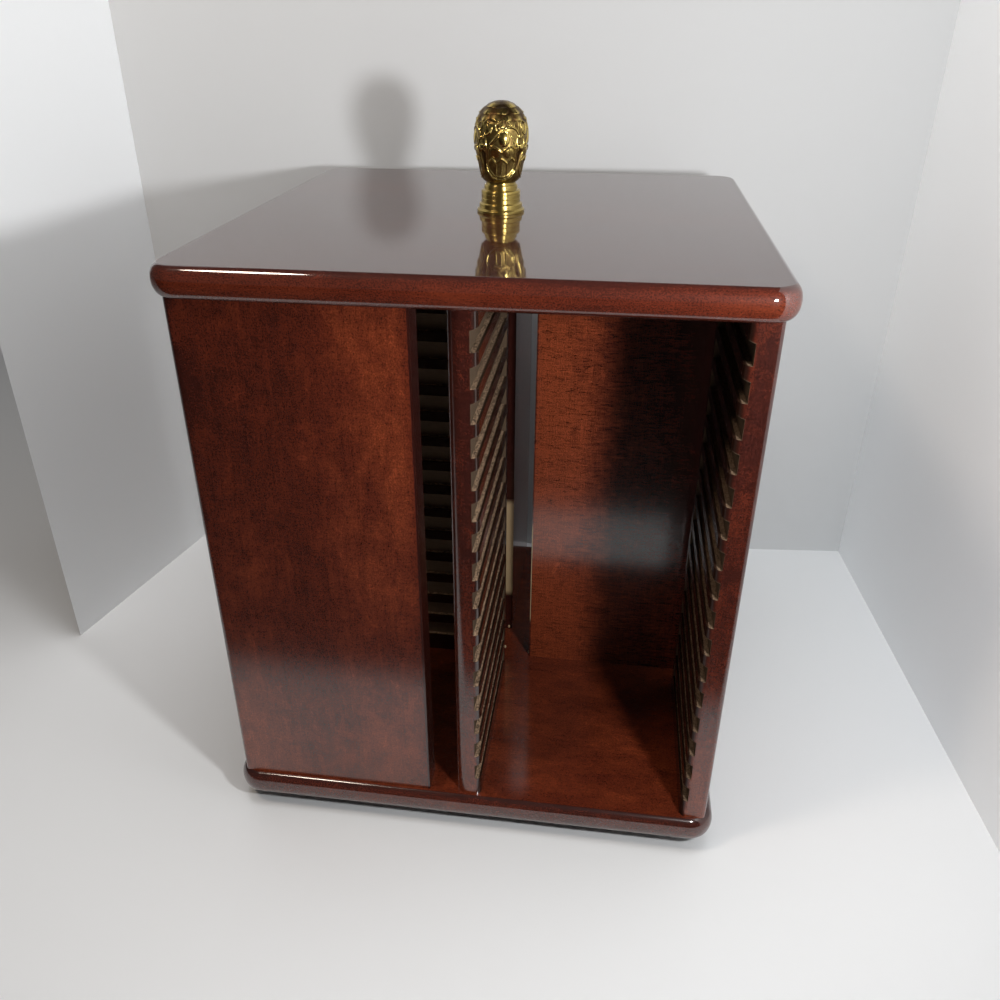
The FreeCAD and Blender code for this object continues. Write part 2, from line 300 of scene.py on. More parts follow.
def stained_wood(finish, patch, figure=0.0, mottle=0.8):
    """Colour and height of stained mahogany, its grain upright. Patch says how thin the stain is."""
    tones = bpy.context.scene.rack_colours
    cloud = finish.noise((0.060, 0.060, 0.110), detail=3.0, roughness=0.55, distortion=0.6)
    blotch = finish.noise((0.011, 0.011, 0.022), detail=4.0, roughness=0.65, distortion=0.6, seed=4.0)
    fibre = finish.noise((0.0011, 0.0011, 0.024), detail=3.0, roughness=0.6, distortion=0.15, seed=9.0)
    pores = finish.noise((0.00050, 0.00050, 0.0050), detail=1.0, roughness=0.4, seed=17.0)
    fleck = finish.noise((0.0008, 0.0008, 0.0010), detail=2.0, roughness=0.75, seed=23.0)
    curl = finish.noise((0.020, 0.020, 0.0032), detail=4.0, roughness=0.7, distortion=1.8, seed=31.0)
    crease = finish.noise((0.016, 0.016, 0.0026), detail=3.0, roughness=0.65, distortion=2.0, seed=37.0)
    wander = finish.noise((0.034, 0.034, 0.075), detail=3.0, roughness=0.7, distortion=1.1, seed=43.0)
    pitted = finish.step(pores, 0.62, 0.74)
    vein = (1 - finish.step(abs(wander - 0.5), 0.0, 0.007)) * finish.step(blotch, 0.44, 0.60)
    thin = patch + (cloud - 0.5) * 0.7 + (blotch - 0.5) * mottle + (curl - 0.5) * figure
    red = finish.mix(finish.step(thin, 0.0, 0.55), tones.mahogany_dark, tones.mahogany_red)
    warm = finish.mix(finish.step(thin, 0.40, 1.10), red, tones.mahogany_glow)
    glint = finish.step(fleck, 0.60, 0.78) * finish.step(thin, 0.5, 1.0)
    marks = finish.step(crease, 0.48, 0.66) * figure * 0.50 + pitted * 0.22
    light = 1 + (fibre - 0.5) * 0.7 + (fleck - 0.5) * 2.4 + glint * 0.9 + vein * 0.5 - marks
    light = light + (curl - 0.5) * figure * 1.1
    shade = finish.mix(1.0, warm, finish.grey(light), "MULTIPLY")
    height = fibre * 0.5 - pitted * 0.8 + fleck * 0.3
    return shade, height


def slot_room(finish, face, inward, wall_low, wall_high):
    """1 in a wall's slots and 0 outside them, and the depth in from the wall's slotted face."""
    sizes = bpy.context.scene.rack_sizes
    first = wall_low[2] + sizes.first_floor
    last = first + sizes.slot_count * sizes.slot_pitch - 3 * MM
    depth = (finish.x - face) * inward
    above_floor = (finish.z - (first - HAIR)) % sizes.slot_pitch
    opening = sizes.slot_height + sizes.slot_rise * (1 - depth / sizes.slot_depth) + 3 * HAIR
    in_slot = finish.between(finish.z, first - 2 * HAIR, last, 0.2 * HAIR) * (above_floor < opening)
    in_slot = in_slot * (depth < sizes.slot_depth + 0.6 * HAIR) * (depth > 0.4 * HAIR)
    in_slot = in_slot * (finish.y < wall_high[1] - sizes.slot_stop + HAIR)
    return in_slot, depth


def slot_wood(finish, depth, pale, painted_ledge_light):
    """Colour of a slot's raw wood, how far its lacquered lip covers it from 0 to 1, and its height."""
    sizes = bpy.context.scene.rack_sizes
    tones = bpy.context.scene.rack_colours
    ledge = finish.step(finish.nz, 0.5, 0.8)
    ragged = finish.noise((0.0016, 0.0030, 0.0016), detail=2.0, seed=41.0)
    raw = finish.noise((0.0006, 0.0060, 0.0006), detail=3.0, roughness=0.7, seed=47.0)
    crumb = finish.noise((0.0011, 0.0015, 0.0011), detail=2.0, roughness=0.7, seed=53.0)
    edge = depth + (ragged - 0.5) * 0.0009
    lip = ledge * (1 - finish.step(edge, sizes.lip * 0.75, sizes.lip * 1.15))
    dusty = finish.step(raw * 0.4 + crumb * 0.6, 0.40, 0.60)
    # The floor's colour is scaled by a share that is lower on panels, as painted shade.
    dust = finish.mix(dusty, scaled(tones.raw_wood, 0.20), scaled(tones.raw_wood, painted_ledge_light))
    root = finish.mix(raw, scaled(tones.raw_wood, pale * 0.5), scaled(tones.raw_wood, pale))
    wood = finish.mix(ledge, root, dust)
    return finish.mix(lip, wood, tones.slot_shade), lip, raw + crumb


def wall_finish(node, turn, seed, face, inward, wall_low, wall_high):
    """Lacquered wall with raw wood in its slots, as it stands in the front bay."""
    stain, painted_light_lean, figure, pale = WALL_CHARACTER.get(node, PLAIN_WALL)
    divider = "divider" in node
    tones = bpy.context.scene.rack_colours
    finish = Finish(node + "_mahogany", turn, seed)
    across = (finish.y - (wall_low[1] + wall_high[1]) / 2) / (wall_high[1] - wall_low[1])
    up = (finish.z - (wall_low[2] + wall_high[2]) / 2) / (wall_high[2] - wall_low[2])
    slotted_side = finish.step(finish.nx * -inward, 0.15, 0.7)
    # The lean paints the wall lighter at its inner end and darker at its front, as painted light and shade.
    patch = stain + across * painted_light_lean + across * across * 0.35 + across * (up + 0.15) * 0.75
    patch = patch - finish.step(abs(across), 0.44, 0.5) * 0.2 + finish.step(up * -1, 0.15, 0.45) * 0.25
    # Near its inner end the wall is painted darker, as painted shade.
    patch = patch * (1 - slotted_side) + 0.02 * slotted_side - finish.step(across, *PAINTED_SHADE_INNER_END) * 0.8
    shade, height = stained_wood(finish, patch, figure)
    shade = finish.mix(slotted_side * 0.75, shade, scaled(tones.slot_shade, 0.6))
    if divider:
        # A pale strip in the glue's colour runs up the divider's inner end.
        run = finish.step(across, *PALE_RUN_ACROSS) * finish.between(up, *PALE_RUN_UP, 0.02)
        shade = finish.mix(run * 0.9, shade, tones.glue)
    in_slot, depth = slot_room(finish, face, inward, wall_low, wall_high)
    # Panels get darker slot floors than dividers, as painted shade.
    inside, lip, grit = slot_wood(finish, depth, pale, 1.0 if divider else 0.48)
    bare = in_slot * (1 - lip)
    front = 1 - finish.step(finish.y - wall_low[1], *FRONT_EDGE)
    rubbed = (1 - finish.step(depth, 0.001, 0.006)) * front * (0.0 if divider else 0.85)
    inputs = {
        "Base Color": finish.mix(in_slot, shade, inside),
        "Roughness": 0.42 + bare * 0.45 + (finish.noise((0.004, 0.004, 0.02), seed=61.0) - 0.5) * 0.1,
        "Coat Weight": (1 - bare) * (1 - rubbed),
        "Normal": finish.bump(height * (1 - in_slot) + grit * in_slot * 4, 0.00001),
    }
    return finish.done(inputs, LACQUER)


def board_finish(node, seed, half):
    """Lacquered board, its grain from side to side."""
    flat, nose, rim, mottle, coat_roughness = BOARD_CHARACTER[node]
    finish = Finish(node + "_mahogany", 0.0, seed)
    finish.place = finish.node("ShaderNodeCombineXYZ", None, {0: finish.z, 1: finish.y, 2: finish.x})
    outward = finish.node("ShaderNodeMath", {"operation": "MAXIMUM"}, {0: abs(finish.x), 1: abs(finish.y)})
    level = finish.step(finish.nz, 0.90, 0.99)
    patch = (flat - finish.step(outward, half - 0.045, half) * rim) * level
    # Off the upper face, painted shade: the stain darker where the nose turns up or down, darkest
    # underneath.
    patch = patch + (nose - finish.nz * finish.nz * 0.5) * (1 - level)
    shade, height = stained_wood(finish, patch, mottle=mottle)
    inputs = {
        "Base Color": shade,
        "Roughness": 0.42 + (finish.noise((0.006, 0.006, 0.02), seed=61.0) - 0.5) * 0.1,
        "Normal": finish.bump(height * (1 + (1 - level) * 5), 0.000005),
    }
    polish = {"Coat Weight": 1.0, "Coat IOR": 1.8, "Coat Roughness": coat_roughness}
    return finish.done(inputs, {**LACQUER, **polish})


def plain_finish(name, tone, roughness, metallic=0.0, grain=(0.0006, 0.0006, 0.0006), spread=0.16):
    """Finish of one tone with fine mottling, for plated, painted, moulded and sawn pieces."""
    finish = Finish(name)
    fine = finish.noise(grain, detail=3.0, roughness=0.6)
    broad = finish.noise(scaled(grain, 14), detail=2.0, seed=5.0)
    light = 1 + (fine - 0.5) * spread + (broad - 0.5) * spread * 1.5
    inputs = {
        "Base Color": finish.mix(1.0, tone, finish.grey(light), "MULTIPLY"),
        "Roughness": roughness + (broad - 0.5) * 0.12,
        "Normal": finish.bump(fine, 0.00002),
    }
    return finish.done(inputs, {"Metallic": metallic})


def brass_finish(name, carved):
    """Antiqued brass. On the carved bud the hollows stay dark, and on the turned collar fine rings show."""
    tones = bpy.context.scene.rack_colours
    finish = Finish(name)
    spots = finish.noise((0.0030, 0.0030, 0.0030), detail=4.0, roughness=0.65, distortion=0.5)
    fixed = {"Metallic": 1.0}
    if carved:
        fine = finish.noise((0.0005, 0.0005, 0.0005), detail=2.0, seed=3.0)
        hollow = finish.node("ShaderNodeAttribute", {"attribute_name": "hollow"}, output="Fac")
        worn = finish.step(hollow + (spots - 0.5) * 0.7, 0.15, 0.85)
        height = fine * 0.4 + spots
    else:
        rings = finish.noise((9.0, 9.0, 0.00035), detail=2.0, seed=11.0)
        worn = 0.22 + finish.step(spots, 0.50, 0.75) * 0.12 + finish.step(rings, 0.50, 0.62) * 0.22
        height = rings * 0.1
        fixed.update({"Anisotropic": 0.8, "Anisotropic Rotation": 0.25})
    inputs = {
        "Base Color": finish.mix(worn, tones.brass, tones.patina),
        "Roughness": (0.17 if carved else 0.26) + worn * 0.25 + (spots - 0.5) * 0.06,
        "Normal": finish.bump(height, 0.00003),
    }
    return finish.done(inputs, fixed)


# Modelling.


def start(piece):
    """Leaves a piece as the only selected and active object."""
    bpy.ops.object.select_all(action="DESELECT")
    piece.select_set(True)
    bpy.context.view_layer.objects.active = piece


def settle(piece):
    """Puts a piece's place, turn and size into its mesh."""
    start(piece)
    bpy.ops.object.transform_apply(location=True, rotation=True, scale=True)


def named(piece, name):
    piece.name = piece.data.name = name
    return piece


def block(name, low, high):
    """Box between two opposite corners."""
    bpy.ops.object.select_all(action="DESELECT")
    bpy.ops.mesh.primitive_cube_add(size=1, location=[(a + b) / 2 for a, b in zip(low, high)])
    piece = named(bpy.context.object, name)
    piece.scale = [b - a for a, b in zip(low, high)]
    settle(piece)
    return piece


def pick_edges(piece, test):
    """Enters edit mode with just the edges selected whose two ends pass a test."""
    start(piece)
    bpy.ops.object.mode_set(mode="EDIT")
    bpy.ops.mesh.select_mode(type="EDGE")
    bpy.ops.mesh.select_all(action="DESELECT")
    bpy.ops.object.mode_set(mode="OBJECT")
    for edge in piece.data.edges:
        ends = [piece.data.vertices[index].co for index in edge.vertices]
        edge.select = test(*ends)
    bpy.ops.object.mode_set(mode="EDIT")


def standing(a, b):
    return abs(a.x - b.x) < NEAR and abs(a.y - b.y) < NEAR and abs(a.z - b.z) > NEAR


def round_standing(piece, radius, segments, near=None):
    """Rounds the upright edges of a piece, or just the one that stands near a point."""

    def wanted(a, b):
        return standing(a, b) and (near is None or math.hypot(a.x - near[0], a.y - near[1]) < 10 * NEAR)

    pick_edges(piece, wanted)
    bpy.ops.mesh.bevel(offset=radius, segments=segments, profile=0.5, affect="EDGES", clamp_overlap=False)
    bpy.ops.object.mode_set(mode="OBJECT")


def add_modifier(piece, kind, **settings):
    """Adds a modifier with its settings and applies it."""
    start(piece)
    made = piece.modifiers.new(kind.lower(), kind)
    for name, value in settings.items():
        setattr(made, name, value)
    bpy.ops.object.modifier_apply(modifier=made.name)


def smooth(piece, degrees=30.0):
    """Smooth shading, with crisp edges where the surface turns by more than an angle."""
    start(piece)
    bpy.ops.object.shade_smooth_by_angle(angle=math.radians(degrees))
    add_modifier(piece, "WEIGHTED_NORMAL", keep_sharp=True, weight=90)


def copy_of(piece, name, degrees):
    """Copy with its own mesh, turned about the spin axis."""
    made = piece.copy()
    made.data = piece.data.copy()
    bpy.context.scene.collection.objects.link(made)
    made.data.transform(Matrix.Rotation(math.radians(degrees), 4, "Z"))
    return named(made, name)


def joined(pieces, name):
    """One object from several."""
    start(pieces[0])
    for piece in pieces[1:]:
        piece.select_set(True)
    bpy.ops.object.join()
    return named(bpy.context.object, name)


def cut(piece, cutter):
    """Takes a cutter out of a piece, and removes the cutter."""
    add_modifier(piece, "BOOLEAN", operation="DIFFERENCE", solver="EXACT", object=cutter)
    bpy.data.objects.remove(cutter)


def lathe(name, profile, segments):
    """Closed turned form on the spin axis from (radius, height) pairs, bottom to top."""
    bpy.ops.object.select_all(action="DESELECT")
    radius, level = profile[0]
    foot = {"radius": radius, "location": (0, 0, level)}
    bpy.ops.mesh.primitive_circle_add(vertices=segments, fill_type="NGON", **foot)
    piece = named(bpy.context.object, name)
    settle(piece)
    bpy.ops.object.mode_set(mode="EDIT")
    bpy.ops.mesh.select_all(action="SELECT")
    for next_radius, next_level in profile[1:]:
        bpy.ops.mesh.extrude_region_move(TRANSFORM_OT_translate={"value": (0, 0, next_level - level)})
        share = next_radius / radius
        bpy.ops.transform.resize(value=(share, share, 1), center_override=(0, 0, next_level))
        radius, level = next_radius, next_level
    bpy.ops.mesh.select_all(action="SELECT")
    bpy.ops.mesh.normals_make_consistent(inside=False)
    bpy.ops.object.mode_set(mode="OBJECT")
    return piece


def finish_piece(piece, material, slot, body, *nodes):
    """Gives a piece its material, lets it ride on a body and stand for CAD nodes; slot is not used."""
    piece.data.materials.clear()
    piece.data.materials.append(material)
    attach(piece, body)
    if nodes:
        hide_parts(*nodes)


def finish_node(node, material):
    """Gives a CAD node that stays in view its material."""
    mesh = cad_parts[node].data
    mesh.materials.clear()
    mesh.materials.append(material)


def nosed_board(name, low, high, sizes):
    """Board with rounded corners in plan, and an oval nose that its flats cut off above and below."""
    middle = (low.z + high.z) / 2
    half = (high.z - low.z) / 2
    oval = half + sizes.nose_trim
    board = block(name, (low.x, low.y, middle - oval), (high.x, high.y, middle + oval))
    round_standing(board, sizes.corner_radius, 20)

    def rim(a, b):
        return abs(a.z - b.z) < NEAR

    pick_edges(board, rim)
    bpy.ops.mesh.bevel(offset=oval * 0.999, segments=28, profile=0.5, affect="EDGES", clamp_overlap=False)
    bpy.ops.object.mode_set(mode="OBJECT")
    for vertex in board.data.vertices:
        up = (vertex.co.z - middle) / oval
        across = math.sqrt(max(0.0, 1 - up * up))
        inset = (oval - sizes.nose_depth) * (1 - across)
        for axis in (0, 1):
            reach = high[axis] - sizes.corner_radius
            beyond = abs(vertex.co[axis]) - reach
            if beyond > 0:
                vertex.co[axis] += math.copysign(inset * beyond / sizes.corner_radius, vertex.co[axis])
        vertex.co.z = min(high.z, max(low.z, vertex.co.z))
    start(board)
    bpy.ops.object.mode_set(mode="EDIT")
    bpy.ops.mesh.select_all(action="SELECT")
    bpy.ops.mesh.remove_doubles(threshold=NEAR)
    bpy.ops.mesh.dissolve_limited(angle_limit=math.radians(0.05))
    bpy.ops.object.mode_set(mode="OBJECT")
    smooth(board, 12.0)
    return board


class RACK_OT_boards(bpy.types.Operator):
    """Model the top and bottom boards, with rounded corners and softly curved edges"""

    bl_idname = "rack.boards"
    bl_label = "Boards"

    def execute(self, context):
        sizes = context.scene.rack_sizes
        for index, node in enumerate(("top_board", "bottom_board")):
            board = nosed_board(node + "_lacquered", low_of(node), high_of(node), sizes)
            material = board_finish(node, 2.0 + index, high_of(node).x)
            finish_piece(board, material, "board_mahogany", "carousel", node)
        return {"FINISHED"}


def slot_cutter(face, inward, level, sizes, start_y, end_y):
    """Block the shape of one slot, its ceiling rising towards the bay."""
    outer = face - inward * MM
    root = face + inward * sizes.slot_depth
    low = (min(outer, root), start_y - MM, level)
    high = (max(outer, root), end_y, level + sizes.slot_height)
    cutter = block("slot", low, high)
    rise = sizes.slot_rise * (1 + MM / sizes.slot_depth)
    for vertex in cutter.data.vertices:
        if abs(vertex.co.x - outer) < NEAR and vertex.co.z > level + MM:
            vertex.co.z += rise
    return cutter


def slotted_wall(name, node, face, inward, plain_arris, sizes):
    """One wall of the front bay, rounded at its front edges and slotted."""
    low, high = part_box(node)
    wall = block(name, low, high)
    back = low.x if inward < 0 else high.x
    round_standing(wall, sizes.slotted_arris, 12, near=(face, low.y))
    round_standing(wall, plain_arris, 14, near=(back, low.y))
    cutters = []
    for index in range(sizes.slot_count):
        level = low.z + sizes.first_floor + index * sizes.slot_pitch
        cutters.append(slot_cutter(face, inward, level, sizes, low.y, high.y - sizes.slot_stop))
    cut(wall, joined(cutters, "slots"))
    smooth(wall)
    return wall


class RACK_OT_walls(bpy.types.Operator):
    """Model the four dividers and four panels, slotted on the side that faces their bay"""

    bl_idname = "rack.walls"
    bl_label = "Slotted walls"

    def execute(self, context):
        sizes = context.scene.rack_sizes
        divider_low, divider_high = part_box("front_divider")
        panel_low, panel_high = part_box("right_panel")
        divider = slotted_wall("divider", "front_divider", divider_high.x, -1, sizes.divider_arris, sizes)
        panel = slotted_wall("panel", "right_panel", panel_low.x, 1, sizes.panel_arris, sizes)
        for index, side in enumerate(SIDES):
            turn = QUARTER * index
            node = side + "_divider"
            made = copy_of(divider, node + "_lacquered", turn)
            material = wall_finish(node, turn, 11.0 + index, divider_high.x, -1, divider_low, divider_high)
            finish_piece(made, material, "lacquered_mahogany", "carousel", node)
            node = SIDES[(index + 1) % len(SIDES)] + "_panel"
            made = copy_of(panel, node + "_lacquered", turn)
            material = wall_finish(node, turn, 31.0 + index, panel_low.x, 1, panel_low, panel_high)
            finish_piece(made, material, "lacquered_mahogany", "carousel", node)
        bpy.data.objects.remove(divider)
        bpy.data.objects.remove(panel)
        return {"FINISHED"}


# Outlines of the finial, as radius and height above the top board in millimetres: the bud's plain form,
# which the carving stands on, and the collar.
BUD_PROFILE = (
    (9.2, 18.4), (11.6, 20.2), (13.1, 23.2), (14.3, 29.6), (15.7, 35.4), (16.4, 38.9), (17.0, 42.4),
    (16.9, 47.0), (16.2, 52.7), (15.0, 57.6), (13.3, 60.6), (10.9, 63.2), (7.8, 65.3), (4.6, 66.5),
    (0.0, 67.1),
)
COLLAR_PROFILE = (
    (15.3, 0.0), (15.5, 0.3), (15.5, 1.6), (15.1, 2.1), (14.4, 2.4), (14.1, 2.8), (14.1, 4.9),
    (13.8, 5.5), (13.1, 5.8), (12.7, 6.2), (12.7, 8.6), (12.45, 8.9), (12.7, 9.2), (12.7, 11.4),
    (12.45, 11.7), (12.7, 12.0), (12.7, 13.1), (12.3, 13.7), (11.2, 13.9), (10.8, 14.3), (10.8, 16.5),
    (10.5, 17.1), (9.8, 17.4), (9.6, 17.8), (9.6, 19.4),
)


def mirrored(path):
    """Path on the other side of the carving's middle."""
    return tuple((-across, height) for across, height in path)


# The carving of one quarter, unrolled: sideways distance from its middle and height above the top board, in
# millimetres. A petal fills the middle, with a leaf over it, a crest and a volute above and a curl beside.
PETAL_RIM = ((9.4, 43.5), (8.9, 39.0), (8.9, 31.0), (8.0, 26.8), (5.4, 23.2), (2.6, 21.6), (0.0, 21.2))
PETAL_LINE = ((8.0, 40.5), (7.9, 31.2), (7.0, 27.6), (4.6, 24.8), (2.2, 23.3), (0.0, 23.0))
PETAL_TOP = (
    (-7.4, 40.6), (-5.8, 41.9), (-3.8, 41.6), (-1.4, 40.0), (0.2, 38.0), (2.0, 39.8), (4.6, 41.4),
    (6.6, 41.6), (7.6, 40.4),
)
PETAL_FOLD = ((-7.6, 32.6), (-5.7, 34.6), (-2.8, 31.8), (0.3, 34.5), (3.2, 31.9), (5.8, 35.2), (7.8, 32.6))
LEAF_RIM = (
    (-6.6, 42.9), (-4.2, 46.0), (-1.6, 49.1), (1.4, 51.9), (3.5, 53.0), (6.2, 52.8), (8.6, 51.4),
    (10.8, 48.6), (11.4, 46.6),
)
LEAF_LINE = ((-4.6, 43.6), (-2.4, 46.2), (0.2, 49.0), (2.4, 50.8), (5.0, 48.8), (6.6, 46.2), (7.2, 43.8))
CREST = ((-3.2, 51.2), (-3.4, 53.8), (-1.6, 56.2), (1.0, 57.4), (3.6, 56.2), (5.2, 53.8))
VOLUTE = (
    (-9.0, 56.6), (-6.6, 55.0), (-5.8, 52.4), (-6.6, 49.8), (-8.6, 48.2), (-10.4, 49.6), (-11.4, 52.6),
    (-10.8, 55.4), (-9.0, 56.6),
)
CURL = ((9.6, 50.4), (11.2, 53.4), (10.2, 56.0), (7.8, 55.6), (7.0, 53.4))
# Each ridge of the carving: its width, its height and its path.
STROKES = (
    (0.42, 0.80, mirrored(PETAL_RIM)),
    (0.42, 0.80, PETAL_RIM),
    (0.34, 0.42, mirrored(PETAL_LINE)),
    (0.34, 0.42, PETAL_LINE),
    (0.42, 0.75, PETAL_TOP),
    (0.38, 0.70, PETAL_FOLD),
    (0.32, 0.40, ((-2.8, 31.6), (-3.0, 24.8))),
    (0.32, 0.40, ((3.2, 31.7), (3.0, 24.8))),
    (0.30, 0.25, ((0.2, 34.0), (0.0, 25.0))),
    (0.50, 0.80, LEAF_RIM),
    (0.36, 0.45, LEAF_LINE),
    (0.42, 0.75, CREST),
    (0.34, 0.45, ((1.0, 57.0), (1.0, 53.0))),
    (0.34, 0.45, ((-0.6, 56.0), (-1.4, 52.0))),
    (0.34, 0.45, ((2.5, 56.0), (3.2, 53.6))),
    (0.50, 0.80, VOLUTE),
    (0.45, 0.60, ((-12.6, 46.8), (-10.8, 48.2), (-9.6, 46.0), (-9.4, 43.0))),
    (0.45, 0.60, ((12.6, 46.8), (11.2, 47.4), (9.8, 46.0), (9.4, 43.0))),
    (0.40, 0.50, CURL),
)
# Each rounded pad of the carving: its middle, its half sizes and its height.
PADS = (
    ((1.5, 46.2), (3.0, 4.6), 0.75),
    ((-3.6, 38.0), (3.2, 3.2), 0.45),
    ((4.2, 38.0), (3.2, 3.2), 0.45),
    ((-12.2, 41.2), (1.8, 2.3), 1.60),
    ((12.2, 41.2), (1.8, 2.3), 1.60),
    ((-10.3, 40.2), (0.9, 2.6), 0.70),
    ((10.3, 40.2), (0.9, 2.6), 0.70),
    ((-8.6, 52.4), (1.5, 2.6), 0.45),
)
# Sideways, the carving is drawn out as far as MIDDLE_HALF, and drawn in from EDGE_START on. The flanks
# beside the petals are cut back by FLANK_DEPTH.
MIDDLE_STRETCH = 1.12
MIDDLE_HALF = 8.6
EDGE_START = 9.6
EDGE_SQUEEZE = 1.2
FLANK_DEPTH = 0.60
# Leaves in each row of the dome from its top down, where the top row begins, and the height of a row.
DOME_ROWS = (4, 8, 12, 16, 16, 16)
DOME_TOP = 67.4
DOME_PITCH = 3.7
CARVING_TURN = math.radians(8.0)
BUD_COLUMNS = 384
BUD_RINGS = 236
# Share of the rings that close the bud's underside.
UNDERSIDE = 0.06


def bud_radius(height):
    """Radius of the bud's plain form at a height above the top board, in millimetres."""
    for (low_radius, low), (high_radius, high) in zip(BUD_PROFILE, BUD_PROFILE[1:]):
        if height <= high:
            share = max(0.0, (height - low) / (high - low))
            return low_radius + (high_radius - low_radius) * share
    return 0.0


def distance_to_path(across, height, path):
    """Shortest distance in millimetres from a point on the unrolled bud to a line of points."""
    nearest = 1e9
    for (x0, y0), (x1, y1) in zip(path, path[1:]):
        run_x, run_y = x1 - x0, y1 - y0
        share = ((across - x0) * run_x + (height - y0) * run_y) / (run_x * run_x + run_y * run_y)
        share = unit(share)
        nearest = min(nearest, math.hypot(across - x0 - share * run_x, height - y0 - share * run_y))
    return nearest


def leaf_scales(bearing, height):
    """Height of the overlapping leaves that cover the dome, pointing down in offset rows."""
    row = (DOME_TOP - height) / DOME_PITCH
    index = max(0, math.floor(row))
    count = DOME_ROWS[min(index, len(DOME_ROWS) - 1)]
    position = (bearing / (2 * math.pi) * count + 0.5 * (index % 2)) % 1.0 - 0.5
    along = row - index
    half_width = 0.52 * (1 - 0.75 * max(0.0, along - 0.25) ** 1.6)
    edge = max(0.0, 1 - abs(position) / half_width) if half_width > 0 else 0.0
    return 0.75 * edge ** 0.6 * (0.25 + 0.75 * along) + 0.15 * math.exp(-((position / 0.06) ** 2)) * along


@functools.lru_cache(maxsize=None)
def carving(column, height):
    """How far the carving stands proud on one column of a quarter, and how dark it is there from 0 to 1."""
    bearing = (column / BUD_COLUMNS - 0.125) * 2 * math.pi
    spread = bearing * max(bud_radius(height), 6.0)
    reach = abs(spread)
    across = min(reach / MIDDLE_STRETCH, MIDDLE_HALF) + max(0.0, reach - EDGE_START) * EDGE_SQUEEZE
    across = math.copysign(across, spread)
    proud = 0.0
    for width, rise, path in STROKES:
        distance = distance_to_path(across, height, path)
        if distance < 3 * width:
            proud = max(proud, rise * math.exp(-((distance / width) ** 2)))
    for (x, y), (half_x, half_y), rise in PADS:
        share = ((across - x) / half_x) ** 2 + ((height - y) / half_y) ** 2
        if share < 1:
            proud = max(proud, rise * math.sqrt(1 - share))
    dome = unit((height - 50.5 - abs(bearing) * 3) / 3.0)
    if dome > 0 and proud < 0.3:
        proud = max(proud, leaf_scales(bearing, height) * dome)
    flank = unit((abs(across) - EDGE_START) / 0.8) * unit((39.5 - height) / 2.0)
    dark = 0.62 - proud * 1.1 + flank * 0.30 + dome * 0.34
    return proud - FLANK_DEPTH * flank, unit(dark)


def carved_bud(name, foot, crown, reach):
    """Bud that stays within a height and a radius, with how dark each point is as its attribute hollow."""
    bpy.ops.object.select_all(action="DESELECT")
    bpy.ops.mesh.primitive_uv_sphere_add(segments=BUD_COLUMNS, ring_count=BUD_RINGS, radius=1.0)
    bud = named(bpy.context.object, name)
    hollow = bud.data.attributes.new("hollow", "FLOAT", "POINT")
    low_radius, low = BUD_PROFILE[0]
    high = BUD_PROFILE[-1][1]
    for vertex in bud.data.vertices:
        latitude = math.asin(max(-1.0, min(1.0, vertex.co.z))) / math.pi + 0.5
        bearing = math.atan2(vertex.co.y, vertex.co.x) + math.pi / 2
        column = round(bearing / (2 * math.pi) * BUD_COLUMNS + BUD_COLUMNS / 8) % (BUD_COLUMNS // 4)
        height = low + (high - low) * max(0.0, (latitude - UNDERSIDE) / (1 - UNDERSIDE)) ** 0.92
        plain = bud_radius(height) if latitude > UNDERSIDE else low_radius * latitude / UNDERSIDE
        proud, shade = carving(column, round(height, 5)) if latitude > 0.08 else (0.0, 0.7)
        radius = max(0.0, min(reach, (plain + proud * min(1.0, plain / 5.0)) * MM))
        rise = proud * max(0.0, 1 - plain / 9.0) if height > 60.0 else 0.0
        turn = bearing - math.pi / 2 + CARVING_TURN
        level = min(crown, foot + (height + rise) * MM)
        vertex.co = (radius * math.cos(turn), radius * math.sin(turn), level)
        hollow.data[vertex.index].value = shade
    start(bud)
    bpy.ops.object.shade_smooth()
    return bud


class RACK_OT_finial(bpy.types.Operator):
    """Model the cast finial: a turned collar, and a bud carved with petals, volutes and small leaves"""

    bl_idname = "rack.finial"
    bl_label = "Finial"

    def execute(self, context):
        low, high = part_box("finial")
        profile = [(radius * MM, low.z + level * MM) for radius, level in COLLAR_PROFILE]
        collar = lathe("finial_collar", profile, 128)
        smooth(collar, 35.0)
        finish_piece(collar, brass_finish("turned_brass", False), "antique_brass", "carousel")
        bud = carved_bud("finial_bud", low.z, high.z, high.x)
        finish_piece(bud, brass_finish("carved_brass", True), "antique_brass", "carousel", "finial")
        return {"FINISHED"}


# Beads of dried glue in the front bay: place, height above the floor and radius in millimetres, and how
# tall a bead is beside its radius.
BEADS = ((9.1, -27.4, 23.0, 0.9, 1.6), (-5.8, -26.6, 2.4, 1.2, 1.2))


class RACK_OT_glue_beads(bpy.types.Operator):
    """Add the small beads of dried glue by the dividers' inner ends"""

    bl_idname = "rack.glue_beads"
    bl_label = "Glue beads"

    def execute(self, context):
        floor = low_of("front_divider").z
        beads = []
        for side in range(len(SIDES)):
            turn = math.radians(QUARTER * side)
            for index, (x, y, level, size, tall) in enumerate(BEADS):
                bpy.ops.object.select_all(action="DESELECT")
                spot = Matrix.Rotation(turn, 4, "Z") @ Vector((x * MM, y * MM, floor + level * MM))
                bpy.ops.mesh.primitive_ico_sphere_add(subdivisions=3, radius=size * MM, location=spot)
                bead = bpy.context.object
                bead.scale = (0.8, 0.8, tall)
                bead.rotation_euler.z = 0.7 * index + turn
                settle(bead)
                beads.append(bead)
        made = joined(beads, "glue_beads")
        bpy.ops.object.shade_smooth()
        tone = context.scene.rack_colours.glue
        material = plain_finish("dried_glue", tone, 0.55, grain=(0.0004, 0.0004, 0.0004), spread=0.5)
        finish_piece(made, material, "lacquered_mahogany", "carousel")
        return {"FINISHED"}


